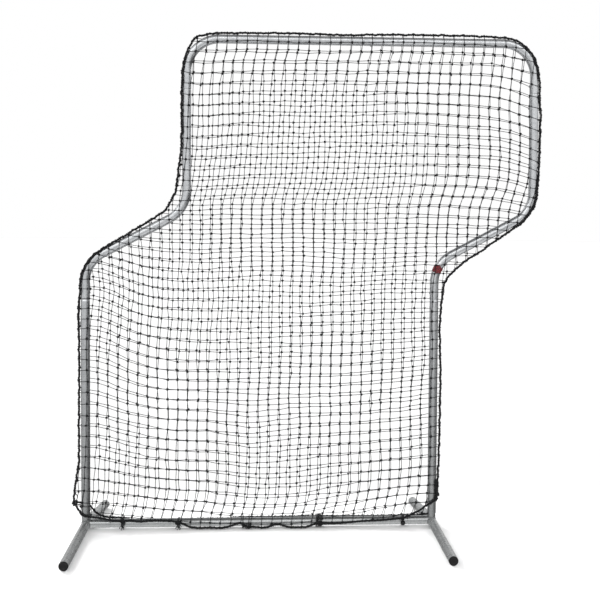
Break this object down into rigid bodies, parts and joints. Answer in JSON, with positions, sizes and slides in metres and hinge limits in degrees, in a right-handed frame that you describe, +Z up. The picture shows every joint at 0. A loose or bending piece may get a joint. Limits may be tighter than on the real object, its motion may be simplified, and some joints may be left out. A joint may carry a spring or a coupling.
{
  "type": "pitching z screen",
  "caption": "Z-shaped pitching screen: bent galvanised tube frame on two foot tubes, with a two-layer black net laced to its edge rope and tied to the bottom rail.",
  "frame": {"origin": "on the floor, under the middle of the bounding box", "axes": "+Z up; +X to the right of someone who faces the front of the screen, the way the upper section is offset; +Y to the rear, so the long ends of the feet point along -Y"},
  "size_m": [1.9973, 0.9078, 2.1423],
  "materials": {
    "galvanised": "galvanised tube with a dull, faintly spangled skin",
    "spring_steel": "zinc-plated spring steel",
    "plug": "moulded black plastic",
    "twine": "black knotted twine",
    "rope": "black laid rope, three strands",
    "ball": "moulded black plastic",
    "tape": "red tape"
  },
  "bodies": {
    "screen": {"bottom_rail": "galvanised", "left_foot_tube": "galvanised", "right_foot_tube": "galvanised", "left_lower_upright": "galvanised", "right_lower_upright": "galvanised", "left_shoulder_tube": "galvanised", "right_shoulder_tube": "galvanised", "top_left_tube": "galvanised", "top_right_tube": "galvanised", "left_foot_post": "galvanised", "right_foot_post": "galvanised", "left_rail_stub": "galvanised", "right_rail_stub": "galvanised", "left_front_plug": "plug", "left_rear_plug": "plug", "right_front_plug": "plug", "right_rear_plug": "plug", "left_post_spring": "spring_steel", "right_post_spring": "spring_steel", "left_rail_spring": "spring_steel", "right_rail_spring": "spring_steel", "left_lower_spring": "spring_steel", "right_lower_spring": "spring_steel", "left_upper_spring": "spring_steel", "right_upper_spring": "spring_steel", "top_spring": "spring_steel", "front_net_lower": "twine", "front_net_shoulder": "twine", "front_net_upper": "twine", "rear_net_lower": "twine", "rear_net_shoulder": "twine", "rear_net_upper": "twine", "edge_rope": "rope", "front_hem_rope": "rope", "rear_hem_rope": "rope", "hem_tie_1": "rope", "hem_tie_2": "rope", "hem_tie_3": "rope", "hem_tie_4": "rope", "bungee_loop": "rope", "left_corner_tie": "rope", "right_corner_tie": "rope", "bungee_ball": "ball", "marker_band": "tape"},
    "left_post_catch": {"left_post_button": "spring_steel"},
    "right_post_catch": {"right_post_button": "spring_steel"},
    "left_rail_catch": {"left_rail_button": "spring_steel"},
    "right_rail_catch": {"right_rail_button": "spring_steel"},
    "left_lower_catch": {"left_lower_button": "spring_steel"},
    "right_lower_catch": {"right_lower_button": "spring_steel"},
    "left_upper_catch": {"left_upper_button": "spring_steel"},
    "right_upper_catch": {"right_upper_button": "spring_steel"},
    "top_catch": {"top_button": "spring_steel"}
  },
  "joints": [
    {"name": "left_post_press", "type": "slide", "parent": "screen", "child": "left_post_catch", "axis": [1, 0, 0], "range_m": [-0.0055, 0], "stiffness_N_per_m": 2000, "springref_m": 0.002},
    {"name": "right_post_press", "type": "slide", "parent": "screen", "child": "right_post_catch", "axis": [-1, 0, 0], "range_m": [-0.0055, 0], "stiffness_N_per_m": 2000, "springref_m": 0.002},
    {"name": "left_rail_press", "type": "slide", "parent": "screen", "child": "left_rail_catch", "axis": [0, 1, 0], "range_m": [-0.0055, 0], "stiffness_N_per_m": 2000, "springref_m": 0.002},
    {"name": "right_rail_press", "type": "slide", "parent": "screen", "child": "right_rail_catch", "axis": [0, 1, 0], "range_m": [-0.0055, 0], "stiffness_N_per_m": 2000, "springref_m": 0.002},
    {"name": "left_lower_press", "type": "slide", "parent": "screen", "child": "left_lower_catch", "axis": [1, 0, 0], "range_m": [-0.0055, 0], "stiffness_N_per_m": 2000, "springref_m": 0.002},
    {"name": "right_lower_press", "type": "slide", "parent": "screen", "child": "right_lower_catch", "axis": [-1, 0, 0], "range_m": [-0.0055, 0], "stiffness_N_per_m": 2000, "springref_m": 0.002},
    {"name": "left_upper_press", "type": "slide", "parent": "screen", "child": "left_upper_catch", "axis": [1, 0, 0], "range_m": [-0.0055, 0], "stiffness_N_per_m": 2000, "springref_m": 0.002},
    {"name": "right_upper_press", "type": "slide", "parent": "screen", "child": "right_upper_catch", "axis": [-1, 0, 0], "range_m": [-0.0055, 0], "stiffness_N_per_m": 2000, "springref_m": 0.002},
    {"name": "top_press", "type": "slide", "parent": "screen", "child": "top_catch", "axis": [0, 0, -1], "range_m": [-0.0055, 0], "stiffness_N_per_m": 2000, "springref_m": 0.002}
  ]
}
